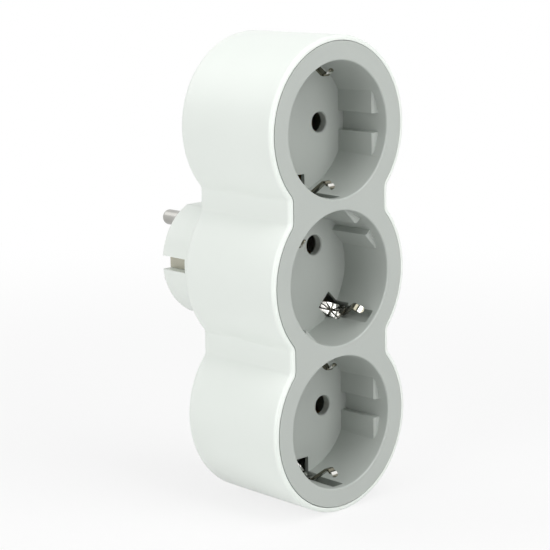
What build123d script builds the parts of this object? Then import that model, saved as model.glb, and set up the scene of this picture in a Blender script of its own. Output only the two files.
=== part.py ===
from build123d import *
import os
from math import cos, radians, sin

os.makedirs("parts", exist_ok=True)

# A three-way wall adapter. X runs to the right as the sockets are faced, Z is up, and +Y
# points into the wall. The origin is the centre of the plug's end face, where the plug pins
# leave it. All sizes are in millimetres.

# Plug pins, and the sockets that take the same pins
pin_spacing = 19.0
pin_radius = 2.4
pin_length = 19.0
pin_tip_round = 1.0

# Socket recesses in the front panel
recess_radius = 19.75
recess_depth = 17.5
recess_draft = 0.8
mouth_round = 0.5
socket_web = 3.5
floor_thickness = 2.5
well_wall = 1.5
well_link = 20.0
pin_hole_radius = 3.0
pin_hole_lead = 0.3
middle_turn = 45.0

# Guide pads on both sides of each recess
pad_height = 2.45
pad_groove = 5.6
pad_setback = 3.4
pad_lead = 0.5

# Sprung earth clips and the slots that they come through
clip_base_width = 5.6
clip_base_round = 1.2
clip_base_setback = 13.2
clip_arm_width = 2.2
clip_tip_round = 0.9
clip_thickness = 0.8
clip_bend = 1.4
clip_channel_gap = 0.4
clip_nose_height = 4.95
clip_tip_height = 2.55
clip_tip_setback = 2.0
clip_nose_setback = 5.9
clip_shoulder_setback = 12.8
slot_width = 6.0
slot_reach = 5.15
channel_depth = 1.45
channel_setback = 2.0
channel_wall = 1.5

# Front panel
panel_ring = 5.55
panel_edge = 3.0
panel_gap = 0.2
panel_round = 0.35
panel_ledge = 0.5

# Housing shell
rim_width = 1.5
side_draft = 0.6
back_wall = 2.25
front_round = 1.1
back_round = 2.5
waist_blend = 2.0
tip_clearance = 0.25

# Plug body on the back of the housing
plug_radius = 18.5
plug_length = 19.0
plug_flat = 1.9
plug_rib = 4.6
plug_round = 1.0
plug_nose_wall = 5.0
plug_skin = 0.8
notch_width = 4.2
notch_depth = 4.2
notch_length = 10.7

# Brass contacts and busbars
contact_thickness = 0.8
contact_grip = 2.15
contact_flare = 3.4
contact_tail = 2.6
contact_width = 5.6
contact_grip_setback = 4.0
contact_bend = 2.0
contact_floor_gap = 0.6
bus_thickness = 1.0
bus_height = 6.0
bus_overrun = 9.0
bus_straight = 5.0
bus_bend = 1.5
tab_thickness = 1.0
tab_width = 4.0
tab_margin = 3.2
tab_pin_gap = 0.5
tab_back_gap = 2.75
tab_bus_gap = 2.0
tail_radius = 1.6
rivet_head_radius = 2.6
rivet_head_height = 0.8
collar_radius = 3.2
collar_height = 1.5
shank_radius = 2.0

# Earth strip work
earth_bar_width = 5.0
earth_bar_thickness = 1.0
earth_bar_overrun = 6.0
earth_bar_round = 1.25
strap_thickness = 0.8
strap_hat = 3.0
strap_bend = 0.9
strap_back_gap = 2.75
strap_end_gap = 0.2
strip_clearance = 0.1

# Screws and their bosses
screw_radius = 1.4
screw_head_radius = 2.5
screw_head_height = 1.8
screw_length = 12.0
screw_point = 0.8
cross_width = 0.7
cross_length = 3.0
cross_depth = 0.9
boss_radius = 2.6
boss_clearance = 0.6
boss_wall_gap = 1.1
screw_clearance = 0.05
pillar_wall = 1.2
pillar_floor = 1.5
pillar_height = 4.25
head_clearance = 0.2

# Ribs inside the housing that carry the busbars
rib_thickness = 2.0
rib_width = 4.0
rib_grip = 2.5

# Places worked out from the sizes above
socket_pitch = 2 * recess_radius + socket_web
socket_heights = {"upper": socket_pitch, "middle": 0.0, "lower": -socket_pitch}
socket_turns = {"upper": 0.0, "middle": middle_turn, "lower": 0.0}
half_spacing = pin_spacing / 2
housing_depth = recess_depth + pin_length + tip_clearance + back_wall

face_y = -(plug_length + housing_depth)
floor_y = face_y + recess_depth
floor_back_y = floor_y + floor_thickness
back_y = -plug_length
inner_back_y = back_y - back_wall
nose_inner_y = -plug_nose_wall

tab_y = inner_back_y - tab_back_gap
bus_back_y = tab_y - tab_thickness - tab_bus_gap
contact_front_y = floor_back_y + contact_floor_gap
contact_back_y = bus_back_y + contact_floor_gap
bus_front_y = bus_back_y - bus_height
strap_y = inner_back_y - strap_back_gap

bus_offset = contact_tail + contact_thickness + bus_thickness / 2
middle_pin_x = half_spacing * cos(radians(middle_turn))
middle_pin_z = half_spacing * sin(radians(middle_turn))
bus_outer_x = half_spacing + bus_offset
bus_middle_x = middle_pin_x + bus_offset

boss_x = bus_middle_x + bus_thickness / 2 + boss_clearance + boss_radius
boss_z = socket_pitch / 2
bosses = [(x, z) for x in (-boss_x, boss_x) for z in (-boss_z, boss_z)]
head_bore = screw_head_radius + head_clearance
pillar_radius = head_bore + pillar_wall
pillar_front_y = inner_back_y - pillar_height
head_seat_y = pillar_front_y + pillar_floor

panel_radius = recess_radius + panel_ring
outer_radius = panel_radius + panel_gap + rim_width
cavity_radius = panel_radius + panel_gap - panel_ledge
waist_half = boss_x + boss_radius + boss_wall_gap + panel_ledge + rim_width
panel_waist = waist_half - rim_width - panel_gap
cavity_waist = panel_waist + panel_gap - panel_ledge
notch_floor = plug_radius - notch_depth
plug_bore = notch_floor - plug_skin
rib_places = [
    (bus_middle_x, plug_bore + rib_thickness),
    (bus_outer_x, socket_pitch + bus_straight + rib_thickness),
]
ribs = [(sx * x, sz * z) for x, z in rib_places for sx in (-1, 1) for sz in (-1, 1)]


def facing(y):
    """Drawing plane that faces the sockets' side, at this place along Y, with X to the right and Z up."""
    return Plane.XZ.offset(-y)


def socket_plane(name, y):
    """Drawing plane on a socket's axis, turned so that its own X runs along the line of its pin holes."""
    return Plane(
        origin=(0, y, socket_heights[name]),
        x_dir=(cos(radians(socket_turns[name])), 0, sin(radians(socket_turns[name]))),
        z_dir=(0, -1, 0),
    )


def lobed_outline(lobe_radius, waist, blend):
    """Three round lobes in a column, joined by straight-sided waists with softened corners."""
    with BuildSketch() as outline:
        with Locations((0, -socket_pitch), (0, 0), (0, socket_pitch)):
            Circle(lobe_radius)
        with Locations((0, -socket_pitch / 2), (0, socket_pitch / 2)):
            Rectangle(2 * waist, socket_pitch)
        fillet(outline.vertices(), blend)
    return outline.sketch


def bent_strip(points, bend, thickness):
    """Edge-on section of a strip of even thickness, bent along these points."""
    with BuildLine() as path:
        FilletPolyline(*points, radius=bend)
    with BuildSketch() as section:
        trace(path.line, line_width=thickness)
    return section.sketch


def write(builder, name):
    """Label a finished piece and save it under its name."""
    builder.part.label = name
    export_step(builder.part, f"parts/{name}.step")


# White shell: lobed side wall with a ledge for the panel, back wall, and the plug body that stands on it
with BuildPart() as rear_housing:
    with BuildSketch(facing(face_y)):
        add(lobed_outline(outer_radius, waist_half, waist_blend))
    extrude(amount=-housing_depth, taper=side_draft)
    fillet(rear_housing.edges().group_by(Axis.Y)[-1], back_round)
    fillet(rear_housing.edges().group_by(Axis.Y)[0], front_round)
    with BuildSketch(facing(face_y)):
        add(lobed_outline(panel_radius + panel_gap, panel_waist + panel_gap, waist_blend))
    extrude(amount=-panel_edge, mode=Mode.SUBTRACT)
    with BuildSketch(facing(face_y)):
        add(lobed_outline(cavity_radius, cavity_waist, waist_blend))
    extrude(amount=-(inner_back_y - face_y), mode=Mode.SUBTRACT)

    # Plug body, round with a ribbed flat above and below
    with BuildSketch(facing(0)):
        Rectangle(2 * plug_radius, 2 * (plug_radius - plug_flat))
        Rectangle(plug_rib, 2 * plug_radius)
        Circle(plug_radius, mode=Mode.INTERSECT)
    extrude(amount=plug_length)
    fillet(rear_housing.edges().group_by(Axis.Y)[-1], plug_round)

    # Hollow of the plug and its pin holes
    with BuildSketch(facing(nose_inner_y)):
        Circle(plug_bore)
    extrude(amount=nose_inner_y - inner_back_y, mode=Mode.SUBTRACT)
    with BuildSketch(facing(0)):
        with Locations((0, -half_spacing), (0, half_spacing)):
            Circle(tail_radius + strip_clearance)
    extrude(amount=plug_nose_wall, mode=Mode.SUBTRACT)

    # Earth notches on both sides of the plug, with the slots that their strips come through
    with BuildSketch(facing(0)):
        for side in (-1, 1):
            with Locations((side * (notch_floor + notch_depth / 2), 0)):
                Rectangle(notch_depth, notch_width)
    extrude(amount=notch_length, mode=Mode.SUBTRACT)
    with BuildSketch(facing(0)):
        for side in (-1, 1):
            with Locations((side * (notch_floor + (strap_thickness + strip_clearance) / 2), 0)):
                Rectangle(strap_thickness + strip_clearance, notch_width)
    extrude(amount=-inner_back_y, mode=Mode.SUBTRACT)

    # Screw pillars with sunk seats for the screw heads
    with BuildSketch(facing(inner_back_y)):
        with Locations(*bosses):
            Circle(pillar_radius)
    extrude(amount=pillar_height)
    with BuildSketch(facing(head_seat_y)):
        with Locations(*bosses):
            Circle(head_bore)
    extrude(amount=-(back_y - head_seat_y), mode=Mode.SUBTRACT)
    with BuildSketch(facing(head_seat_y)):
        with Locations(*bosses):
            Circle(screw_radius + screw_clearance)
    extrude(amount=pillar_floor, mode=Mode.SUBTRACT)

    # Forked ribs that hold the busbars off the back wall
    with BuildSketch(facing(inner_back_y)):
        with Locations(*ribs):
            Rectangle(rib_width, rib_thickness)
    extrude(amount=inner_back_y - bus_back_y + rib_grip)
    with BuildSketch(facing(bus_back_y)):
        with Locations(*ribs):
            Rectangle(bus_thickness + 2 * strip_clearance, rib_thickness)
    extrude(amount=rib_grip, mode=Mode.SUBTRACT)
write(rear_housing, "rear_housing")

# Grey panel: flat face with three socket wells behind it
with BuildPart() as front_panel:
    with BuildSketch(facing(face_y)):
        add(lobed_outline(panel_radius, panel_waist, waist_blend))
    extrude(amount=-panel_edge)
    fillet(front_panel.edges().group_by(Axis.Y)[0], panel_round)
    with BuildSketch(facing(face_y + panel_round)):
        with Locations((0, -socket_pitch), (0, 0), (0, socket_pitch)):
            Circle(recess_radius + well_wall)
        Rectangle(well_link, 2 * socket_pitch)
    extrude(amount=-(floor_back_y - face_y - panel_round))

    # Thicker wall behind each earth clip
    for name in socket_heights:
        with BuildSketch(socket_plane(name, face_y + panel_round)):
            Rectangle(
                slot_width + 2 * channel_wall,
                2 * (recess_radius + channel_depth + channel_wall),
            )
        extrude(amount=-(floor_back_y - face_y - panel_round))

    # Round recesses, a little narrower at the floor
    with BuildSketch(facing(face_y)):
        with Locations((0, -socket_pitch), (0, 0), (0, socket_pitch)):
            Circle(recess_radius)
    extrude(amount=-recess_depth, taper=recess_draft, mode=Mode.SUBTRACT)
    mouths = front_panel.edges().filter_by(GeomType.CIRCLE).group_by(Axis.Y)[0]
    fillet(mouths.filter_by(lambda edge: abs(edge.radius - recess_radius) < panel_gap), mouth_round)

    for name in socket_heights:
        # Guide pads: flat-faced segments against the wall, each with a groove along its middle
        with BuildSketch(socket_plane(name, floor_y)):
            Circle(recess_radius + well_wall / 2)
            Rectangle(2 * (recess_radius - pad_height), 2 * recess_radius + well_wall, mode=Mode.SUBTRACT)
            Rectangle(2 * recess_radius + 2 * well_wall, pad_groove, mode=Mode.SUBTRACT)
        extrude(amount=recess_depth - pad_setback)

        # Earth clip slots: cut through the floor and let into the wall
        with BuildSketch(socket_plane(name, face_y + channel_setback)):
            for side in (-1, 1):
                reach = slot_reach + channel_depth
                with Locations((0, side * (recess_radius + channel_depth - reach / 2))):
                    Rectangle(slot_width, reach)
        extrude(amount=-(floor_back_y - face_y - channel_setback), mode=Mode.SUBTRACT)

        # Pin holes with a small lead-in
        with BuildSketch(socket_plane(name, floor_y)):
            with Locations((-half_spacing, 0), (half_spacing, 0)):
                Circle(pin_hole_radius)
        extrude(amount=-floor_thickness, mode=Mode.SUBTRACT)

    # Lead-ins on the front ends of the pads and round the pin holes
    pad_front_y = face_y + pad_setback
    pad_ends = front_panel.edges().filter_by(GeomType.LINE).filter_by_position(
        Axis.Y, pad_front_y - pad_lead / 2, pad_front_y + pad_lead / 2
    )
    chamfer(pad_ends.filter_by(lambda edge: edge.length > 2 * pad_height), pad_lead)
    hole_rims = front_panel.edges().filter_by(GeomType.CIRCLE).filter_by_position(
        Axis.Y, floor_y - pin_hole_lead / 2, floor_y + pin_hole_lead / 2
    )
    hole_rims = hole_rims.filter_by(lambda edge: abs(edge.radius - pin_hole_radius) < pin_hole_lead)
    chamfer(hole_rims, pin_hole_lead)

    # Screw bosses that stand on the housing's pillars
    with BuildSketch(facing(face_y + panel_edge)):
        with Locations(*bosses):
            Circle(boss_radius)
    extrude(amount=-(pillar_front_y - face_y - panel_edge))
    with BuildSketch(facing(pillar_front_y)):
        with Locations(*bosses):
            Circle(screw_radius + screw_clearance)
    extrude(amount=screw_length, mode=Mode.SUBTRACT)
write(front_panel, "front_panel")



def clip_strip(plane, points, width, end_round):
    """Strip bent along these points on one side and back on the other, with its ends rounded."""
    path = points + [(-across, along) for across, along in reversed(points)]
    with BuildPart() as strip:
        with BuildSketch(plane):
            add(bent_strip(path, clip_bend, clip_thickness))
        extrude(amount=width / 2, both=True)
        corners = strip.edges().filter_by(GeomType.LINE)
        corners = corners.filter_by(lambda edge: abs(edge.length - clip_thickness) < clip_thickness / 100)
        fillet(corners, end_round)
    return strip.part


# Earth brackets: one bent spring strip for each socket. Its wide base lies behind the floor and stands
# up in the slots, and a narrow arm at each end bows into the recess.
clip_radius = recess_radius + channel_depth - clip_channel_gap - clip_thickness / 2
clip_corner = (clip_radius, floor_back_y + clip_thickness / 2)
base_points = [(clip_radius, face_y + clip_base_setback), clip_corner]
arm_points = [
    (recess_radius - clip_tip_height, face_y + clip_tip_setback),
    (recess_radius - clip_nose_height, face_y + clip_nose_setback),
    (clip_radius, face_y + clip_shoulder_setback),
    clip_corner,
]
for name, height in socket_heights.items():
    across = radians(socket_turns[name])
    bracket_plane = Plane(
        origin=(0, 0, height),
        x_dir=(-sin(across), 0, cos(across)),
        z_dir=(-cos(across), 0, -sin(across)),
    )
    with BuildPart() as earth_bracket:
        add(clip_strip(bracket_plane, base_points, clip_base_width, clip_base_round))
        add(clip_strip(bracket_plane, arm_points, clip_arm_width, clip_tip_round))
    write(earth_bracket, f"earth_bracket_{name}")

# Earth bar: flat strip along the backs of the three brackets
bar_front_y = floor_back_y + clip_thickness
with BuildPart() as earth_bar:
    with BuildSketch(facing(bar_front_y)):
        Rectangle(earth_bar_width, 2 * (socket_pitch + earth_bar_overrun))
    extrude(amount=-earth_bar_thickness)
    fillet(earth_bar.edges().filter_by(Axis.Y), earth_bar_round)
write(earth_bar, "earth_bar")

# Plug earth strap: one strip that rises from the earth bar and runs out along both sides of the plug
bar_back_y = bar_front_y + earth_bar_thickness
leaf_x = notch_floor + strap_thickness / 2
strap_half = [
    (strap_hat, bar_back_y + strap_thickness / 2),
    (strap_hat, strap_y),
    (leaf_x, strap_y),
    (leaf_x, -strap_end_gap),
]
strap_path = [(-x, y) for x, y in reversed(strap_half)] + strap_half
with BuildPart() as plug_earth_strap:
    with BuildSketch(Plane.XY):
        add(bent_strip(strap_path, strap_bend, strap_thickness))
    extrude(amount=notch_width / 2 - strip_clearance, both=True)
write(plug_earth_strap, "plug_earth_strap")

# Contacts: a web on the busbar with two sprung leaves that grip a pin between them
leaf_path = [
    (contact_front_y, contact_flare + contact_thickness / 2),
    (contact_front_y + contact_grip_setback, contact_grip + contact_thickness / 2),
    (contact_back_y, contact_tail + contact_thickness / 2),
]
poles = {"live": 1, "neutral": -1}
for pole, side in poles.items():
    for name, height in socket_heights.items():
        turn = radians(socket_turns[name])
        web_x = side * (half_spacing * cos(turn) + contact_tail)
        pin_z = height + side * half_spacing * sin(turn)
        leaf_plane = Plane(origin=(web_x, 0, pin_z), x_dir=(0, 1, 0), z_dir=(-side, 0, 0))
        with BuildPart() as contact:
            with BuildSketch(leaf_plane):
                for way in (-1, 1):
                    add(bent_strip([(y, way * z) for y, z in leaf_path], contact_bend, contact_thickness))
            extrude(amount=contact_width)
            with BuildSketch(leaf_plane):
                with Locations(((bus_front_y + contact_back_y) / 2, 0)):
                    Rectangle(contact_back_y - bus_front_y, 2 * (contact_tail + contact_thickness))
            extrude(amount=-contact_thickness)
        write(contact, f"{pole}_contact_{name}")

# Busbars: bent strips on edge, each with a tab that is riveted to its plug pin
bus_half = [
    (bus_outer_x, socket_pitch + bus_overrun),
    (bus_outer_x, socket_pitch - bus_straight),
    (bus_middle_x, boss_z + bus_straight),
]
bus_path = bus_half + [(x, -z) for x, z in reversed(bus_half)]
tab_low = middle_pin_z + pin_radius + tab_pin_gap
tab_high = tab_low + tab_width
bus_outside = bus_middle_x + bus_thickness / 2
for pole, side in poles.items():
    with BuildPart() as busbar:
        with BuildSketch(facing(bus_front_y)):
            add(bent_strip([(side * x, side * z) for x, z in bus_path], bus_bend, bus_thickness))
        extrude(amount=-bus_height)
        with BuildSketch(facing(bus_back_y)):
            with Locations((side * bus_middle_x, side * (tab_low + tab_high) / 2)):
                Rectangle(bus_thickness, tab_width)
        extrude(amount=-(tab_y - bus_back_y))
        with BuildSketch(facing(tab_y)):
            with Locations((side * (bus_outside - tab_margin) / 2, side * (tab_low + tab_high) / 2)):
                Rectangle(bus_outside + tab_margin, tab_width)
            with Locations((0, side * (half_spacing - tab_margin + tab_high) / 2)):
                Rectangle(2 * tab_margin, tab_high - half_spacing + tab_margin)
            with Locations((0, side * half_spacing)):
                Circle(tail_radius + strip_clearance, mode=Mode.SUBTRACT)
        extrude(amount=tab_thickness)
    write(busbar, f"{pole}_busbar")

# Plug pins: turned in one piece, with a collar behind the plug's end wall and a tail riveted over the tab
tab_front_y = tab_y - tab_thickness
pin_steps = [
    (rivet_head_radius, tab_front_y - rivet_head_height, tab_front_y),
    (tail_radius, tab_front_y, tab_y),
    (shank_radius, tab_y, nose_inner_y - collar_height),
    (collar_radius, nose_inner_y - collar_height, nose_inner_y),
    (tail_radius, nose_inner_y, 0),
    (pin_radius, 0, pin_length),
]
for name, side in {"upper": 1, "lower": -1}.items():
    with BuildPart() as plug_pin:
        for radius, start, end in pin_steps:
            with BuildSketch(facing(start)):
                with Locations((0, side * half_spacing)):
                    Circle(radius)
            extrude(amount=-(end - start))
        fillet(plug_pin.edges().group_by(Axis.Y)[-1], pin_tip_round)
    write(plug_pin, f"plug_pin_{name}")

# Screws: pan heads sunk in the back, shanks in the panel's bosses
with BuildPart() as housing_screws:
    with BuildSketch(facing(head_seat_y)):
        with Locations(*bosses):
            Circle(screw_head_radius)
    extrude(amount=-screw_head_height)
    with BuildSketch(facing(head_seat_y + screw_head_height)):
        with Locations(*bosses):
            Rectangle(cross_length, cross_width)
            Rectangle(cross_width, cross_length)
    extrude(amount=cross_depth, mode=Mode.SUBTRACT)
    with BuildSketch(facing(head_seat_y)):
        with Locations(*bosses):
            Circle(screw_radius)
    extrude(amount=screw_length)
    chamfer(housing_screws.edges().group_by(Axis.Y)[0], screw_point)
write(housing_screws, "housing_screws")
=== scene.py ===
from math import acos, asin, atan2, cos, pi, radians, sin, sqrt, tan

import bmesh
import bpy
from mathutils import Matrix, Vector


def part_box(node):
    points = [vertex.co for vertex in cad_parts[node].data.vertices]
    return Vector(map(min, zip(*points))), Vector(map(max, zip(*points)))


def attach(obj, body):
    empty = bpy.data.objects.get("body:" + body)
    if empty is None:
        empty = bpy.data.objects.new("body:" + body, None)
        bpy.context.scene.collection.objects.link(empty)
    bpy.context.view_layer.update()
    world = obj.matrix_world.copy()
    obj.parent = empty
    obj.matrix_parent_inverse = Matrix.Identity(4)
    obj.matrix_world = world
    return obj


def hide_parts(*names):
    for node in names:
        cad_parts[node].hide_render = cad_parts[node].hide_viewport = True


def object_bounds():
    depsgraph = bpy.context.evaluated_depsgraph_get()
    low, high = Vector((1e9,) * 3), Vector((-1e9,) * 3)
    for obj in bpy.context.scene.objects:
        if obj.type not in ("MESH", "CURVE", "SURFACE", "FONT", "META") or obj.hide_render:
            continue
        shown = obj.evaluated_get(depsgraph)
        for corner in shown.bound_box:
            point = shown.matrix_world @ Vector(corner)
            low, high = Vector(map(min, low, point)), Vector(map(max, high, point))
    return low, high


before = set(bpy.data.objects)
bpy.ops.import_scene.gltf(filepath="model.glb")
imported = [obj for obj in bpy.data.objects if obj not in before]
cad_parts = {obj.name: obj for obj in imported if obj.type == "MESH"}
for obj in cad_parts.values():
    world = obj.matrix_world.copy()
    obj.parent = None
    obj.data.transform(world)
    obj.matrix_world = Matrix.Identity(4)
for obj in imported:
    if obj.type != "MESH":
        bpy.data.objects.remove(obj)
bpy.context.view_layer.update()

# White rear housing: one thin-walled moulding in satin ABS, three round lobes in a column that are
# joined by straight-sided waists, with the plug body standing on its back. The rim takes the grey
# panel in a shallow rebate, and four sunk holes in the back lead the screws into it.
MM = 0.001
housing_low, housing_high = (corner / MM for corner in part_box("rear_housing"))
face_y = housing_low.y
plug_end_y = housing_high.y
lobe_radius = housing_high.x
socket_pitch = 43.0
waist_half = 20.02
waist_blend = 2.0
side_draft = radians(0.6)
housing_depth = 39.0
back_wall = 2.25
rim_width = 1.5
rim_edge_round = 0.08
rebate_depth = 3.0
ledge_width = 0.5
front_round = 1.1
back_round = 2.5
back_y = face_y + housing_depth
inner_back_y = back_y - back_wall
rebate_y = face_y + rebate_depth


def arc(centre, radius, start, end, steps):
    """Points on a circle, both ends included, with the angles in radians."""
    angles = (start + (end - start) * i / steps for i in range(steps + 1))
    return [(centre[0] + radius * cos(a), centre[1] + radius * sin(a)) for a in angles]


def four_quarters(quarter):
    """Closed loop that mirrors its first quarter, which runs from the x axis round to the z axis."""
    half = quarter + [(-x, z) for x, z in reversed(quarter[:-1])]
    return half[:-1] + [(-x, -z) for x, z in half[:-1]]


def lobed_loop(inset):
    """Housing's outline moved inwards, as a closed loop of x and z that always has as many points."""
    lobe = lobe_radius - inset
    blend = waist_blend + inset
    blend_x = waist_half - inset + blend
    blend_z = sqrt((lobe + blend) ** 2 - blend_x ** 2)
    lean = atan2(blend_z, blend_x)
    quarter = arc((0, 0), lobe, 0, lean, steps=24)
    quarter += arc((blend_x, blend_z), blend, pi + lean, pi, steps=6)
    quarter += arc((blend_x, socket_pitch - blend_z), blend, pi, pi - lean, steps=6)
    quarter += arc((0, socket_pitch), lobe, -lean, pi / 2, steps=60)[1:]
    return four_quarters(quarter)


def loft(rings):
    """Closed mesh over a row of rings that have as many points each, with both ends filled."""
    bm = bmesh.new()
    rings = [[bm.verts.new(point) for point in ring] for ring in rings]
    for near, far in zip(rings, rings[1:]):
        for i in range(len(near)):
            bm.faces.new((near[i - 1], near[i], far[i], far[i - 1]))
    bm.faces.new(rings[0])
    bm.faces.new(rings[-1])
    bmesh.ops.recalc_face_normals(bm, faces=bm.faces)
    return bm


def skin(loops):
    """Closed mesh over a stack of flat loops, each a pair of a y and its points in x and z."""
    return loft([[(x, y, z) for x, z in points] for y, points in loops])


def lobed(profile):
    """Closed mesh with the housing's outline: the profile is pairs of an inset and a y."""
    return skin([(y, lobed_loop(inset)) for inset, y in profile])


def lathe(profile, centre=(0, 0), steps=96):
    """Solid of revolution about a line along Y: the profile is pairs of a radius and a y."""
    return skin([(y, arc(centre, radius, 0, 2 * pi, steps)[:-1]) for radius, y in profile])


def rod(radius, near_y, far_y, centre=(0, 0), steps=96):
    """Plain round rod along Y, to join on or to bore with."""
    return lathe([(radius, near_y), (radius, far_y)], centre, steps)


def block(x_range, y_range, z_range, edge=0.0):
    """Box between these limits, with its edges along Y rounded."""
    bm = bmesh.new()
    bmesh.ops.create_cube(bm, size=1.0)
    limits = (x_range, y_range, z_range)
    size = [high - low for low, high in limits]
    middle = [(high + low) / 2 for low, high in limits]
    fit = Matrix.Translation(middle) @ Matrix.Diagonal((*size, 1.0))
    bmesh.ops.transform(bm, matrix=fit, verts=bm.verts)
    if edge:
        upright = [e for e in bm.edges if abs((e.verts[0].co - e.verts[1].co).y) > size[1] / 2]
        bmesh.ops.bevel(bm, geom=upright, offset=edge, segments=4, profile=0.5, affect="EDGES")
    return bm


def workpiece(name, *shapes):
    """New object in the scene that holds these meshes."""
    mesh = bpy.data.meshes.new(name)
    whole = bmesh.new()
    for shape in shapes:
        shape.to_mesh(mesh)
        shape.free()
        whole.from_mesh(mesh)
    whole.to_mesh(mesh)
    whole.free()
    piece = bpy.data.objects.new(name, mesh)
    bpy.context.scene.collection.objects.link(piece)
    return piece


def bake_modifiers(piece):
    """Replace the piece's mesh by what its modifiers make of it."""
    evaluated = piece.evaluated_get(bpy.context.evaluated_depsgraph_get())
    piece.data = bpy.data.meshes.new_from_object(evaluated)
    piece.modifiers.clear()
    return piece


def join_or_cut(piece, operation, *tools):
    """Add the tools to the piece with UNION, or take them out of it with DIFFERENCE."""
    for tool in tools:
        cut = piece.modifiers.new(tool.name, "BOOLEAN")
        cut.operation = operation
        cut.solver = "EXACT"
        cut.object = tool
    bake_modifiers(piece)
    for tool in tools:
        bpy.data.objects.remove(tool)
    return piece


# The wall goes from the bottom of the hollow, over the rim and down the outside to the back.
hollow_inset = rim_width + ledge_width
back_inset = (housing_depth - back_round) * tan(side_draft)
rim_corner = (rim_width - rim_edge_round, face_y + rim_edge_round)
front_corner = (front_round, face_y + front_round)
back_corner = (back_inset + back_round, back_y - back_round)
wall_profile = [(hollow_inset, inner_back_y), (hollow_inset, rebate_y), (rim_width, rebate_y)]
wall_profile += arc(rim_corner, rim_edge_round, 0, -pi / 2, steps=3)
wall_profile += arc(front_corner, front_round, -pi / 2, -pi, steps=10)
wall_profile += arc(back_corner, back_round, pi, pi / 2, steps=14)

# Shapes that are joined on run into the wall by the overlap, and cuts run past it.
root_overlap = 1.0
plug_radius = 18.5
plug_flat = 1.9
plug_rib_half = 2.3
plug_round = 1.0
plug_hollow_radius = 13.5
plug_nose_wall = 5.0


def plug_loop(inset):
    """Plug's outline moved inwards: round, with a flat above and below and a rib down each flat."""
    radius = plug_radius - inset
    flat_z = plug_radius - plug_flat - inset
    rib = plug_rib_half - inset
    side = arc((0, 0), radius, 0, asin(flat_z / radius), steps=30)
    crown = arc((0, 0), radius, acos(rib / radius), pi / 2, steps=6)
    return four_quarters(side + [(rib, flat_z)] + crown)


plug_profile = [(0, back_y - root_overlap)]
plug_profile += arc((plug_round, plug_end_y - plug_round), plug_round, pi, pi / 2, steps=10)

pin_spacing = 19.0
pin_way_radius = 1.7
notch_floor = 14.3
notch_half = 2.1
notch_length = 10.7
strap_slot = 0.9
screw_across = 14.318
screw_up = socket_pitch / 2
screw_places = [(x, z) for x in (-screw_across, screw_across) for z in (-screw_up, screw_up)]
screw_bore = 2.7
shank_bore = 1.45
pillar_radius = 3.9
pillar_height = 4.25
seat_thickness = 1.5
pillar_front_y = inner_back_y - pillar_height
head_seat_y = pillar_front_y + seat_thickness

housing = workpiece("housing", lobed(wall_profile))
plug_body = workpiece("plug body", skin([(y, plug_loop(inset)) for inset, y in plug_profile]))
pillars = [
    rod(pillar_radius, pillar_front_y, inner_back_y + root_overlap, at, steps=48)
    for at in screw_places
]
join_or_cut(housing, "UNION", plug_body, workpiece("pillars", *pillars))

bores = [rod(screw_bore, head_seat_y, back_y + root_overlap, at, steps=48) for at in screw_places]
shank_ways = [
    rod(shank_bore, pillar_front_y - root_overlap, head_seat_y + root_overlap, at, steps=32)
    for at in screw_places
]
pin_ways = [
    rod(pin_way_radius, -plug_nose_wall - root_overlap, root_overlap, (0, z), steps=32)
    for z in (-pin_spacing / 2, pin_spacing / 2)
]
hollow = rod(plug_hollow_radius, inner_back_y - root_overlap, -plug_nose_wall)
notch_y = (plug_end_y - notch_length, plug_end_y + root_overlap)
strap_y = (inner_back_y - root_overlap, plug_end_y)
notch_z = (-notch_half, notch_half)
notches = []
strap_ways = []
for side in (-1, 1):
    notch_x = sorted((side * notch_floor, side * (plug_radius + root_overlap)))
    notches.append(block(notch_x, notch_y, notch_z))
    strap_x = sorted((side * notch_floor, side * (notch_floor + strap_slot)))
    strap_ways.append(block(strap_x, strap_y, notch_z))
join_or_cut(
    housing, "DIFFERENCE",
    workpiece("screw bores", *bores), workpiece("shank bores", *shank_ways),
    workpiece("pin ways", *pin_ways), workpiece("plug hollow", hollow),
    workpiece("notches", *notches), workpiece("strap ways", *strap_ways),
)


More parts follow.
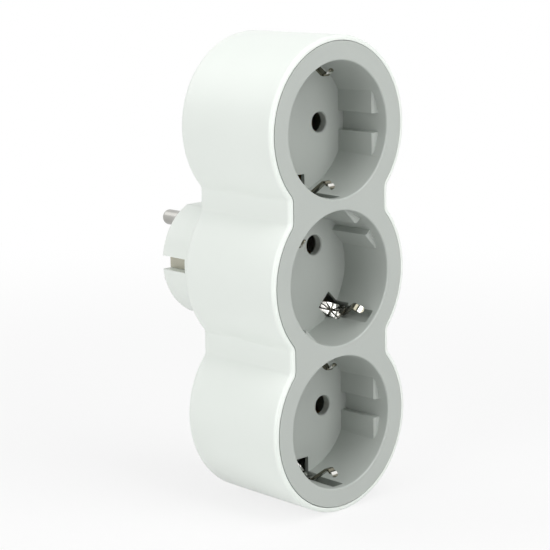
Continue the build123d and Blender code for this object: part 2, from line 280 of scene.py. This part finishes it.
class Wire:
    """An output in a node tree. Sums on wires add Math nodes, and node() adds any other node."""

    def __init__(self, tree, socket=None):
        self.tree = tree
        self.socket = socket

    def give(self, socket, value):
        """Link a wire to an input, or set the input to a plain value."""
        if isinstance(value, Wire):
            self.tree.links.new(value.socket, socket)
        else:
            socket.default_value = value

    def node(self, kind, inputs=None, output=0, stops=None, **settings):
        """Wire from a new node, whose settings and colour stops are set before its inputs."""
        made = self.tree.nodes.new(kind)
        for name, value in settings.items():
            setattr(made, name, value)
        if stops:
            ramp = made.color_ramp.elements
            while len(ramp) < len(stops):
                ramp.new(1.0)
            for mark, (place, colour) in zip(ramp, stops):
                mark.position = place
                mark.color = colour
        for name, value in (inputs or {}).items():
            self.give(made.inputs[name], value)
        return Wire(self.tree, made.outputs[output])

    def math(self, operation, first, second):
        """Math node on two wires or numbers."""
        return self.node("ShaderNodeMath", {0: first, 1: second}, operation=operation)

    def __add__(self, other):
        return self.math("ADD", self, other)

    def __radd__(self, other):
        return self.math("ADD", other, self)

    def __sub__(self, other):
        return self.math("SUBTRACT", self, other)

    def __rsub__(self, other):
        return self.math("SUBTRACT", other, self)

    def __mul__(self, other):
        return self.math("MULTIPLY", self, other)

    def __rmul__(self, other):
        return self.math("MULTIPLY", other, self)

    def blend(self, dark, light):
        """Colour between two colours, each three numbers or a wire, by this wire."""
        dark, light = (end if isinstance(end, Wire) else (*end, 1) for end in (dark, light))
        # A Mix node's sockets go by number here, because those of its other types share their names.
        factor, first, second, result = 0, 6, 7, 2
        ends = {factor: self, first: dark, second: light}
        return self.node("ShaderNodeMix", ends, result, data_type="RGBA")

    def stretched(self, scale):
        """These coordinates scaled along each axis."""
        return self.node("ShaderNodeMapping", {"Vector": self, "Scale": scale})

    def noise(self, scale, detail):
        """Soft random value over these coordinates."""
        return self.node("ShaderNodeTexNoise", {"Vector": self, "Scale": scale, "Detail": detail})

    def bump(self, strength, distance):
        """Normal of a surface that has this wire as its height."""
        return self.node("ShaderNodeBump", {"Height": self, "Strength": strength, "Distance": distance})


def new_finish(name):
    """New material, and the wire of the place on the piece, from which its other nodes start."""
    finish = bpy.data.materials.new(name)
    finish.use_nodes = True
    return finish, Wire(finish.node_tree).node("ShaderNodeTexCoord", output="Object")


def feed(finish, **values):
    """Link or set the inputs of a material's shader, named with underscores for spaces."""
    shader = finish.node_tree.nodes["Principled BSDF"]
    for name, value in values.items():
        Wire(finish.node_tree).give(shader.inputs[name.replace("_", " ")], value)


def coat(piece, finish):
    """Make this the only material of a piece."""
    piece.data.materials.clear()
    piece.data.materials.append(finish)


sharp_angle = radians(32)


def settle(piece, finish, slot, *nodes):
    """Bring a piece from millimetres to the frame's metres, shade it and stand it in for its nodes."""
    piece.data.transform(Matrix.Scale(MM, 4))
    coat(piece, finish)
    piece.data.shade_smooth()
    piece.data.set_sharp_from_angle(angle=sharp_angle)
    piece.modifiers.new("even shading", "WEIGHTED_NORMAL").keep_sharp = True
    bake_modifiers(piece)
    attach(piece, "root")
    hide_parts(*nodes)
    return piece


# Satin ABS: an even white with a breath of green, a slow drift of tone where the melt flowed, and
# a polish that is broken up by a very fine grain.
white_dark = (0.785, 0.828, 0.785)
white_light = (0.815, 0.857, 0.815)
white_plastic, place = new_finish("housing_white")
drift = place.noise(scale=38, detail=2)
grain = place.noise(scale=2600, detail=3)
feed(
    white_plastic,
    Base_Color=drift.blend(white_dark, white_light),
    Roughness=0.30 + 0.05 * drift + 0.06 * grain,
    Normal=grain.bump(strength=0.18, distance=0.03 * MM),
)
settle(housing, white_plastic, "housing_white", "rear_housing")

# Plug pins: two solid round pins, turned from brass bar and nickel plated. A collar seats each one
# behind the plug's end wall, and its tail is riveted over a busbar's tab.
pin_count = 2
pin_radius = 2.4
pin_length = 19.0
pin_tip_round = 1.7
neck_radius = 1.6
collar_radius = 3.2
collar_thickness = 1.5
stem_radius = 2.0
rivet_radius = 2.6
rivet_height = 0.8
tab_thickness = 1.0
tab_y = -24.0
tab_back_y = tab_y - tab_thickness
collar_y = -plug_nose_wall - collar_thickness

# A pin goes from its rivet to the shoulder on the plug's end face, which is at y 0, and on to its tip.
pin_profile = [
    (rivet_radius, tab_back_y - rivet_height),
    (rivet_radius, tab_back_y),
    (neck_radius, tab_back_y),
    (neck_radius, tab_y),
    (stem_radius, tab_y),
    (stem_radius, collar_y),
    (collar_radius, collar_y),
    (collar_radius, -plug_nose_wall),
    (neck_radius, -plug_nose_wall),
    (neck_radius, 0.0),
    (pin_radius, 0.0),
]
tip_corner = (pin_radius - pin_tip_round, pin_length - pin_tip_round)
pin_profile += arc(tip_corner, pin_tip_round, 0, pi / 2, steps=8)


def new_tree(name, **sizes):
    """Geometry tree that takes in a tool, named sizes and a material, and the wires of all of them."""
    tree = bpy.data.node_groups.new(name, "GeometryNodeTree")
    tree.interface.new_socket("Tool", in_out="INPUT", socket_type="NodeSocketGeometry")
    for size, kind in sizes.items():
        tree.interface.new_socket(size, in_out="INPUT", socket_type=kind)
    tree.interface.new_socket("Finish", in_out="INPUT", socket_type="NodeSocketMaterial")
    tree.interface.new_socket("Set", in_out="OUTPUT", socket_type="NodeSocketGeometry")
    entry = tree.nodes.new("NodeGroupInput")
    wires = {socket.name: Wire(tree, socket) for socket in entry.outputs if socket.name}
    return tree, wires


def end_tree(tree, points, tool, turn, finish):
    """Put the tool on the points, as one plain mesh in its finish, and hand it out."""
    copies = points.node(
        "GeometryNodeInstanceOnPoints", {"Points": points, "Instance": tool, "Rotation": turn}
    )
    whole = points.node("GeometryNodeRealizeInstances", {"Geometry": copies})
    dressed = points.node("GeometryNodeSetMaterial", {"Geometry": whole, "Material": finish})
    way_out = tree.nodes.new("NodeGroupOutput")
    tree.links.new(dressed.socket, way_out.inputs["Set"])


def repeat(piece, tree, **sizes):
    """Run a tree on the piece, with its inputs set by name, and keep the plain mesh."""
    modifier = piece.modifiers.new(tree.name, "NODES")
    modifier.node_group = tree
    for item in tree.interface.items_tree:
        if item.in_out == "INPUT" and item.name in sizes:
            modifier[item.identifier] = sizes[item.name]
    return bake_modifiers(piece)


# The column tree sets copies one above the other about the origin, with the middle one turned.
column, wires = new_tree(
    "column", Count="NodeSocketInt", Pitch="NodeSocketFloat", Middle_Turn="NodeSocketFloat"
)
gaps = wires["Count"] - 1
lowest = gaps * wires["Pitch"] * -0.5
levels = lowest.node(
    "GeometryNodeMeshLine",
    {"Count": wires["Count"],
     "Start Location": lowest.node("ShaderNodeCombineXYZ", {"Z": lowest}),
     "Offset": lowest.node("ShaderNodeCombineXYZ", {"Z": wires["Pitch"]})},
)
index = lowest.node("GeometryNodeInputIndex")
index_margin = 0.1
is_middle = lowest.node(
    "ShaderNodeMath", {0: index * 2, 1: gaps, 2: index_margin}, operation="COMPARE"
)
turn = lowest.node("ShaderNodeCombineXYZ", {"Y": is_middle * wires["Middle_Turn"]})
end_tree(column, levels, wires["Tool"], turn, wires["Finish"])

nickel_dark = (0.345, 0.34, 0.317)
nickel_light = (0.49, 0.484, 0.462)
nickel, place = new_finish("nickel")
lines = place.stretched((60, 1600, 60)).noise(scale=1, detail=3)
cloud = place.noise(scale=260, detail=3)
feed(
    nickel,
    Base_Color=cloud.blend(nickel_dark, nickel_light),
    Roughness=0.20 + 0.12 * cloud + 0.08 * lines,
    Metallic=1.0,
    Normal=lines.bump(strength=0.12, distance=0.02 * MM),
)
pins = workpiece("plug_pins", lathe(pin_profile, steps=64))
repeat(pins, column, Count=pin_count, Pitch=pin_spacing, Middle_Turn=0.0, Finish=nickel)
settle(pins, nickel, "nickel", "plug_pin_upper", "plug_pin_lower")

# Brass work: a busbar on each side, folded from strip on edge, with a sprung sleeve at each socket
# that grips a pin between its two leaves. The sleeves are spot welded on, and the plug pins' rivets
# hold the busbars.
brass_dark = (0.40, 0.27, 0.10)
brass_light = (0.68, 0.50, 0.22)
brass, place = new_finish("brass")
tarnish = place.noise(scale=180, detail=4)
streaks = place.stretched((900, 900, 60)).noise(scale=1, detail=2)
feed(
    brass,
    Base_Color=tarnish.blend(brass_dark, brass_light),
    Roughness=0.24 + 0.16 * tarnish + 0.06 * streaks,
    Metallic=1.0,
    Normal=streaks.bump(strength=0.1, distance=0.02 * MM),
)
for name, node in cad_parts.items():
    if name.endswith("_busbar") or "_contact_" in name:
        coat(node, brass)

# Earth strip work behind the panel: a flat bar down the middle and a bent strap whose ends lie in the
# notches of the plug. Both are nickel plated strip, clenched together.
strap_dark = (0.305, 0.294, 0.232)
strap_light = (0.52, 0.514, 0.435)
strap_nickel, place = new_finish("strap_nickel")
tarnish = place.noise(scale=240, detail=3)
streaks = place.stretched((900, 60, 900)).noise(scale=1, detail=2)
feed(
    strap_nickel,
    Base_Color=(0.6 * tarnish + 0.4 * streaks).blend(strap_dark, strap_light),
    Roughness=0.22 + 0.14 * tarnish + 0.08 * streaks,
    Metallic=1.0,
    Normal=streaks.bump(strength=0.1, distance=0.02 * MM),
)
for name in ("earth_bar", "plug_earth_strap"):
    coat(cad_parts[name], strap_nickel)

# Earth brackets: one spring strip for each socket, pressed from nickel plated bronze. Its wide base lies
# behind the floor and slants up through the slots as two feet, each stiffened by a star of pressed
# grooves, and a narrow arm beyond each foot bows into the recess.
socket_count = 3
middle_turn = radians(-45)
recess_radius = 19.75
recess_depth = 17.5
floor_thickness = 2.5
floor_y = face_y + recess_depth
floor_back_y = floor_y + floor_thickness
strip_thickness = 0.8
strip_edge = 0.12
strip_bend = 1.4
path_steps = 20
strip_steps = 24
half_thickness = strip_thickness / 2
base_half = 2.8
base_depth = 13.2
base_round = 1.2
arm_half = 1.1
tip_round = 0.9
foot_waist_radius = 16.6
foot_waist_half = 0.4
foot_waist_slope = 0.5

# Corners of an arm, as pairs of a radius and a depth below the face, and of the foot that carries it.
# The crease between them runs at a slant across the strip.
arm_tip = (17.2, 2.8)
arm_curl = (15.75, 4.1)
arm_nose = (14.8, 5.9)
arm_radius = 20.4
arm_root_depth = 12.8
crease_depth = 16.2
crease_slant = 1.3
foot_bend = 15.2
foot_y = floor_back_y + half_thickness

# The star's centre, the shares across the strip at which its grooves end, towards the axis and towards
# the arm, and how the fields between them tilt.
star_radius = 18.8
star_share = -0.4
star_reach = 2.4
star_slant = 0.5
foot_grooves = (0.85, 0.2, -0.27, -0.75)
arm_grooves = (0.9, 0.55, 0.1, -0.75)
groove_depth = 0.1
groove_half = 0.36
groove_fade = 1.2
field_tilt = 0.2


def rounded_path(points, radius, steps):
    """Points along a bent line in a plane, this many to a stretch, with an arc at each inner corner."""
    corners = [Vector(point) for point in points]
    path = [corners[0]]
    for before, at, after in zip(corners, corners[1:], corners[2:]):
        to_before = (before - at).normalized()
        to_after = (after - at).normalized()
        half = to_before.angle(to_after) / 2
        middle = at + (to_before + to_after).normalized() * radius / sin(half)
        near = at + to_before * radius / tan(half) - middle
        far = at + to_after * radius / tan(half) - middle
        path += [path[-1].lerp(middle + near, (i + 1) / steps) for i in range(steps)]
        path += [middle + near.slerp(far, (i + 1) / steps) for i in range(steps)]
    return path + [path[-1].lerp(corners[-1], (i + 1) / steps) for i in range(steps)]


def strip_line(crease_shift):
    """Line of the strip from its tip to the socket's axis, with its crease moved this far back."""
    points = [(radius, face_y + depth) for radius, depth in (arm_tip, arm_curl, arm_nose)]
    points += [
        (arm_radius, face_y + arm_root_depth),
        (arm_radius, face_y + crease_depth + crease_shift),
        (foot_bend, foot_y),
        (0, foot_y),
    ]
    return rounded_path(points, strip_bend, path_steps)


def rounded_end(run, half, radius):
    """Half width of a strip this far from its end, where the end's corners are rounded."""
    return half - radius + sqrt(radius ** 2 - (radius - min(max(run, 0.0), radius)) ** 2)


first_edge = strip_line(-crease_slant)
second_edge = strip_line(crease_slant)
rows = range(len(first_edge))


def strip_place(row, share, rise):
    """Radius and y of a point this share across the strip and this far off its middle surface."""
    near, at, far = (
        first_edge[i].lerp(second_edge[i], (1 + share) / 2)
        for i in (max(row - 1, rows[0]), row, min(row + 1, rows[-1]))
    )
    along = (far - near).normalized()
    return at + rise * Vector((-along.y, along.x))


# Lengths along the strip's middle, from its tip to where the base begins, the foot ends and the star is.
middle_line = [strip_place(row, 0.0, 0.0) for row in rows]
runs = [0.0]
for near, far in zip(middle_line, middle_line[1:]):
    runs.append(runs[-1] + (far - near).length)
base_run = min(run for at, run in zip(middle_line, runs) if at.y > face_y + base_depth)
foot_run = min(run for at, run in zip(middle_line, runs) if run > base_run and at.x < foot_bend)
star_run = min(run for at, run in zip(middle_line, runs) if run > base_run and at.x < star_radius)


def pressed_at(run, share):
    """Depth pressed into the foot there by the star and its tilted fields, and the share of groove."""
    past_star = run - star_run + star_slant * share
    spread = min(1.0, abs(past_star) / star_reach)
    ends = foot_grooves if past_star > 0 else arm_grooves
    lines = [star_share + (end - star_share) * spread for end in ends]
    nearest = min(abs(share - line) for line in lines) * base_half
    groove = max(0.0, 1 - min(nearest, abs(past_star)) / groove_half)
    field_start = min([line for line in lines if line > share], default=1.0)
    fade = min(1.0, max(0.0, min(run - base_run, foot_run - run) / groove_fade))
    depth = field_tilt * (field_start - share) * base_half + groove_depth * groove
    return depth * fade, groove * fade


# The strip's section, as a share across it, a setback from its edge and a rise off its middle surface.
flank = half_thickness - strip_edge
shares = [1 - 2 * i / strip_steps for i in range(strip_steps + 1)]
section = [(1.0, 0.0, -flank), (1.0, 0.0, flank)]
section += [(share, strip_edge, half_thickness) for share in shares]
section += [(-1.0, 0.0, flank), (-1.0, 0.0, -flank)]
section += [(share, strip_edge, -half_thickness) for share in reversed(shares)]
rings = []
groove_rings = []
for row, at, run in zip(rows, middle_line, runs):
    half = rounded_end(run, arm_half, tip_round)
    waisted_half = half
    if run > base_run:
        half = max(half, rounded_end(run - base_run, base_half, base_round))
        waisted_half = min(half, foot_waist_half + foot_waist_slope * abs(at.x - foot_waist_radius))
    ring = []
    grooves = []
    for share, setback, rise in section:
        depth, groove = pressed_at(run, share)
        radius, y = strip_place(row, share, rise - depth)
        width = waisted_half if share > 0 else half
        ring.append(((width - setback) * share, y, radius))
        grooves.append(groove)
    rings.append(ring)
    groove_rings.append(grooves)
rings += [[(x, y, -z) for x, y, z in ring] for ring in reversed(rings[:-1])]
groove_rings += reversed(groove_rings[:-1])
groove_values = [groove for grooves in groove_rings for groove in grooves]
brackets = workpiece("earth_brackets", loft(rings))
# The groove share is kept on the points as the mask for the painted shade in the grooves.
brackets.data.attributes.new("groove", "FLOAT", "POINT").data.foreach_set("value", groove_values)

# The plating's colour is painted in bands by the depth below the face: the bright bands are painted
# glints on the tips and feet, and the dull bands between are painted dark reflection. The stops are
# shares of the span, and stray a little. The grooves are painted dark as shade.
painted_glint = (0.84, 0.83, 0.79, 1)
painted_dark = (0.21, 0.20, 0.155, 1)
band_span = 22.0
band_stray = 0.02
glint_bands = [
    (0.13, painted_dark), (0.14, painted_glint), (0.17, painted_glint), (0.185, painted_dark),
    (0.56, painted_dark), (0.66, painted_glint), (0.855, painted_glint), (0.875, painted_dark),
]
# Painted shade for the grooves, laid on through the groove mask.
groove_painted_shade = (0.04, 0.038, 0.03)
groove_strength = 2.0
spring_nickel, place = new_finish("spring_nickel")
cloud = place.noise(scale=520, detail=3)
from_face = place.node("ShaderNodeSeparateXYZ", {"Vector": place}, "Y") - face_y * MM
along_span = from_face * (1 / (band_span * MM)) + band_stray * cloud - band_stray / 2
# Painted glints and painted dark reflection, banded by the depth below the face.
banded_glints = place.node("ShaderNodeValToRGB", {"Fac": along_span}, stops=glint_bands)
pressed = place.node("ShaderNodeAttribute", output="Fac", attribute_name="groove")
groove_shade_share = place.math("MINIMUM", pressed * groove_strength, 1.0)
feed(
    spring_nickel,
    Base_Color=groove_shade_share.blend(banded_glints, groove_painted_shade),
    Roughness=0.08 + 0.14 * cloud,
    Metallic=1.0,
)
repeat(
    brackets, column,
    Count=socket_count, Pitch=socket_pitch, Middle_Turn=middle_turn, Finish=spring_nickel,
)
settle(
    brackets, spring_nickel, "nickel",
    "earth_bracket_upper", "earth_bracket_middle", "earth_bracket_lower",
)

# Front panel: one moulding in grey ABS with a fine matt skin. Three drafted wells stand behind its flat
# face, each with grooved guide pads left and right, slots for the earth clips and two pin holes. Four
# bosses on its back take the screws.
panel_gap = 0.14
panel_shift = 0.11
panel_inset = rim_width + panel_gap
panel_round = 0.15
plate_skin = 1.0
plate_inside_y = face_y + plate_skin
mouth_round = 0.5
recess_draft = radians(0.8)
well_wall = 1.5
well_radius = recess_radius + well_wall
well_link = 10.0
pad_height = 2.45
pad_root = 0.75
pad_setback = 3.4
pad_lead = 0.5
pad_edge = 0.25
pad_face = recess_radius - pad_height
pad_back = recess_radius + pad_root
pad_front_y = face_y + pad_setback
pad_groove_half = 2.8
slot_half = 3.0
slot_inside = 14.6
slot_depth = 2.0
slot_setback = 12.4
slot_corner = 0.3
slot_lip = 1.2
slot_relief = 1.0
slot_outside = recess_radius + slot_depth
slot_front_y = face_y + slot_setback
channel_half = 2.2
channel_setback = 2.0
channel_wall = 1.5
channel_front_y = face_y + channel_setback
pin_hole_radius = 3.0
pin_hole_lead = 0.3
boss_radius = 2.6
boss_bore = 1.45
boss_bore_depth = 12.0


def column_of(name, *shapes):
    """Tool for all three sockets, from the shapes of one of them on the axis."""
    tool = workpiece(name, *shapes)
    return repeat(tool, column, Count=socket_count, Pitch=socket_pitch, Middle_Turn=middle_turn)


plate_corner = (panel_inset + panel_round, face_y + panel_round)
plate_profile = arc(plate_corner, panel_round, -pi / 2, -pi, steps=6)
plate = lobed(plate_profile + [(panel_inset, rebate_y)])
bmesh.ops.translate(plate, verts=plate.verts, vec=(panel_shift, 0, 0))
panel = workpiece("panel", plate)

behind_y = (plate_inside_y, floor_back_y)
well = rod(well_radius, *behind_y, steps=128)
channel_x = slot_half + channel_wall
channel_z = slot_outside + channel_wall
channels = block((-channel_x, channel_x), behind_y, (-channel_z, channel_z))
link = block((-well_link, well_link), behind_y, (-socket_pitch, socket_pitch))
bosses = [rod(boss_radius, plate_inside_y, pillar_front_y, at, steps=48) for at in screw_places]
join_or_cut(
    panel, "UNION",
    column_of("wells", well), column_of("channels", channels),
    workpiece("link", link), workpiece("bosses", *bosses),
)

mouth_corner = (recess_radius + mouth_round, face_y + mouth_round)
mouth = arc(mouth_corner, mouth_round, -pi / 2, -pi, steps=8)
floor_radius = recess_radius - recess_depth * tan(recess_draft)
recess_profile = [(mouth[0][0], face_y - root_overlap), *mouth, (floor_radius, floor_y)]
join_or_cut(panel, "DIFFERENCE", column_of("recesses", lathe(recess_profile, steps=192)))


def pad_outline(face, x_way, z_way):
    """Section of a guide pad whose flat face is this far from the axis, flipped into its quarter."""
    outline = arc((face + pad_edge, pad_groove_half + pad_edge), pad_edge, -pi / 2, -pi, steps=4)
    outline += arc((0, 0), pad_back, acos(face / pad_back), asin(pad_groove_half / pad_back), steps=10)
    return [(x_way * x, z_way * z) for x, z in outline]


pad_profile = [
    (pad_face + pad_lead, pad_front_y),
    (pad_face, pad_front_y + pad_lead),
    (pad_face, floor_y + root_overlap),
]
pads = [
    skin([(y, pad_outline(face, x_way, z_way)) for face, y in pad_profile])
    for x_way in (-1, 1)
    for z_way in (-1, 1)
]
join_or_cut(panel, "UNION", column_of("pads", *pads))

through_y = floor_back_y + root_overlap
relief_half = slot_half + slot_relief
hole_profile = [
    (pin_hole_radius + 2 * pin_hole_lead, floor_y - pin_hole_lead),
    (pin_hole_radius, floor_y + pin_hole_lead),
    (pin_hole_radius, through_y),
]
slots = []
arm_ways = []
reliefs = []
pin_holes = []
for way in (-1, 1):
    slot_z = sorted((way * slot_inside, way * slot_outside))
    slots.append(block((-slot_half, slot_half), (slot_front_y, through_y), slot_z, slot_corner))
    arm_ways.append(block((-channel_half, channel_half), (channel_front_y, floor_y), slot_z, slot_corner))
    relief_z = sorted((way * (slot_inside - slot_relief), way * slot_outside))
    reliefs.append(block((-relief_half, relief_half), (floor_y + slot_lip, through_y), relief_z))
    pin_holes.append(lathe(hole_profile, (way * pin_spacing / 2, 0), steps=64))
boss_bores = [
    rod(boss_bore, pillar_front_y - boss_bore_depth, pillar_front_y + root_overlap, at, steps=32)
    for at in screw_places
]
join_or_cut(
    panel, "DIFFERENCE",
    column_of("slots", *slots), column_of("arm ways", *arm_ways), column_of("slot reliefs", *reliefs),
    column_of("pin holes", *pin_holes), workpiece("boss bores", *boss_bores),
)

grey_dark = (0.41, 0.438, 0.414)
grey_light = (0.475, 0.505, 0.475)
grey_plastic, place = new_finish("panel_grey")
drift = place.noise(scale=45, detail=2)
spark = place.noise(scale=5200, detail=2)
feed(
    grey_plastic,
    Base_Color=(0.6 * drift + 0.4 * spark).blend(grey_dark, grey_light),
    Roughness=0.44 + 0.08 * spark,
    Normal=spark.bump(strength=0.3, distance=0.04 * MM),
)
settle(panel, grey_plastic, "panel_grey", "front_panel")

# Housing screws: four pan-head self-tapping screws in zinc plated steel with a cross recess. They go in
# from the back, sunk in the housing's pillars, and pull the panel's bosses down on them.
head_radius = 2.5
head_height = 1.8
head_dome = 0.9
shank_radius = 1.4
shank_length = 12.0
point_length = 0.8
cross_half = 0.38
cross_reach = 1.6
cross_depth = 1.3
cross_taper = 0.35
head_top_y = head_seat_y + head_height
shank_end_y = head_seat_y - shank_length
screw_profile = [
    (shank_radius - point_length, shank_end_y),
    (shank_radius, shank_end_y + point_length),
    (shank_radius, head_seat_y),
    (head_radius, head_seat_y),
]
screw_profile += arc((head_radius - head_dome, head_top_y - head_dome), head_dome, 0, pi / 2, steps=8)
screw = workpiece("housing_screws", lathe(screw_profile, steps=48))


def cross_wing(reach, half):
    """One wing of the driver's cross, from its narrow bottom to above the head."""
    outline = [(-reach, -half), (reach, -half), (reach, half), (-reach, half)]
    bottom = [(cross_taper * x, cross_taper * z) for x, z in outline]
    return skin([(head_top_y - cross_depth, bottom), (head_top_y + root_overlap, outline)])


join_or_cut(
    screw, "DIFFERENCE",
    workpiece("cross slot", cross_wing(cross_reach, cross_half)),
    workpiece("cross bar", cross_wing(cross_half, cross_reach)),
)

# The corners tree sets a copy at each corner of an upright rectangle about the origin.
corners, wires = new_tree("corners", Across="NodeSocketFloat", Along="NodeSocketFloat")
flat = wires["Across"].node(
    "GeometryNodeMeshGrid",
    {"Size X": wires["Across"], "Size Y": wires["Along"], "Vertices X": 2, "Vertices Y": 2},
)
upright = flat.node("GeometryNodeTransform", {"Geometry": flat, "Rotation": (pi / 2, 0, 0)})
end_tree(corners, upright, wires["Tool"], (0, 0, 0), wires["Finish"])

zinc_dark = (0.46, 0.47, 0.46)
zinc_light = (0.66, 0.67, 0.66)
zinc, place = new_finish("screw_steel")
bloom = place.noise(scale=700, detail=3)
feed(
    zinc,
    Base_Color=bloom.blend(zinc_dark, zinc_light),
    Roughness=0.28 + 0.18 * bloom,
    Metallic=1.0,
)
repeat(screw, corners, Across=2 * screw_across, Along=2 * screw_up, Finish=zinc)
settle(screw, zinc, "screw_steel", "housing_screws")

# Studio: a pale floor under the lowest lobe, an even white surround and five soft lamps, on the left, in
# front, above, behind and above the front. What the camera sees of floor and surround is white, and the
# floor keeps the shadow near the object.
white = (1, 1, 1, 1)
ambient = 0.15


def seen_rays(start):
    """One for rays from the camera, and for those that a mirror or a clear piece sends on."""
    kinds = ("Is Camera Ray", "Is Glossy Ray", "Is Transmission Ray")
    direct, mirrored, passed = (start.node("ShaderNodeLightPath", output=kind) for kind in kinds)
    return start.math("MAXIMUM", direct + mirrored, passed)


world = bpy.data.worlds.new("studio")
bpy.context.scene.world = world
world.use_nodes = True
start = Wire(world.node_tree)
surround = world.node_tree.nodes["Background"]
start.give(surround.inputs["Color"], white)
start.give(surround.inputs["Strength"], ambient + (1 - ambient) * seen_rays(start))

floor_half = 3.0
floor_colour = (0.82, 0.82, 0.82, 1)
floor_roughness = 0.9

# Near the object the floor shows some of its shaded paper, and further out it fades to plain white.
fade_start = 0.12
fade_end = 0.42
white_near = 0.78

floor_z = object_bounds()[0].z
floor_corners = [
    (x_way * floor_half, y_way * floor_half, floor_z)
    for x_way, y_way in ((-1, -1), (1, -1), (1, 1), (-1, 1))
]
floor_mesh = bpy.data.meshes.new("floor")
floor_mesh.from_pydata(floor_corners, [], [(0, 1, 2, 3)])
floor = bpy.data.objects.new("floor", floor_mesh)
bpy.context.scene.collection.objects.link(floor)
pale, place = new_finish("floor_white")
feed(pale, Base_Color=floor_colour, Roughness=floor_roughness)
paper = Wire(pale.node_tree, pale.node_tree.nodes["Principled BSDF"].outputs[0])
lit = place.node("ShaderNodeEmission", {"Color": white, "Strength": 1.0})
away = place.node("ShaderNodeVectorMath", {0: place}, "Value", operation="LENGTH")
shown = place.node(
    "ShaderNodeMapRange",
    {"Value": away, "From Min": fade_start, "From Max": fade_end, "To Min": white_near, "To Max": 1.0},
    interpolation_type="SMOOTHSTEP",
)
mixed = place.node("ShaderNodeMixShader", {0: shown * seen_rays(place), 1: paper, 2: lit})
place.give(pale.node_tree.nodes["Material Output"].inputs["Surface"], mixed)
coat(floor, pale)

# Each lamp has a name, a power in watts, a width in metres and a place, and points at the origin.
lamps = [
    ("left", 4.65, 0.6, (-1.0, -0.12, 0.3)),
    ("front", 3.62, 0.7, (0.10, -1.0, 0.17)),
    ("top", 3.3, 0.7, (0.0, 0.0, 1.0)),
    ("rear", 1.4, 0.7, (-0.40, 0.65, 0.65)),
    ("top front", 4.5, 0.7, (0.10, -0.60, 0.80)),
]
for name, watts, width, at in lamps:
    light = bpy.data.lights.new(name, "AREA")
    light.energy = watts
    light.size = width
    lamp = bpy.data.objects.new(name, light)
    lamp.location = at
    lamp.rotation_euler = (-lamp.location).to_track_quat("-Z", "Y").to_euler()
    bpy.context.scene.collection.objects.link(lamp)

# The camera is the one that was fitted to the photo, with its focal length in pixels of the picture.
camera_place = (-0.38986, -0.44408, 0.11263)
azimuth = radians(-43.305)
elevation = radians(11.471)
roll = radians(0.969)
picture_width = 550
focal_pixels = 1942.07
sensor_width = 36.0
back = Vector((sin(azimuth) * cos(elevation), -cos(azimuth) * cos(elevation), sin(elevation)))
right = (-back).cross(Vector((0, 0, 1))).normalized()
down = (-back).cross(right)
turned_right = cos(roll) * right + sin(roll) * down
turned_down = -sin(roll) * right + cos(roll) * down
axes = Matrix((turned_right, -turned_down, back)).transposed().to_4x4()
camera_data = bpy.data.cameras.new("camera")
camera_data.sensor_width = sensor_width
camera_data.lens = focal_pixels / picture_width * sensor_width
camera = bpy.data.objects.new("camera", camera_data)
camera.matrix_world = Matrix.Translation(camera_place) @ axes
bpy.context.scene.collection.objects.link(camera)
bpy.context.scene.camera = camera
bpy.context.scene.view_settings.view_transform = "Standard"
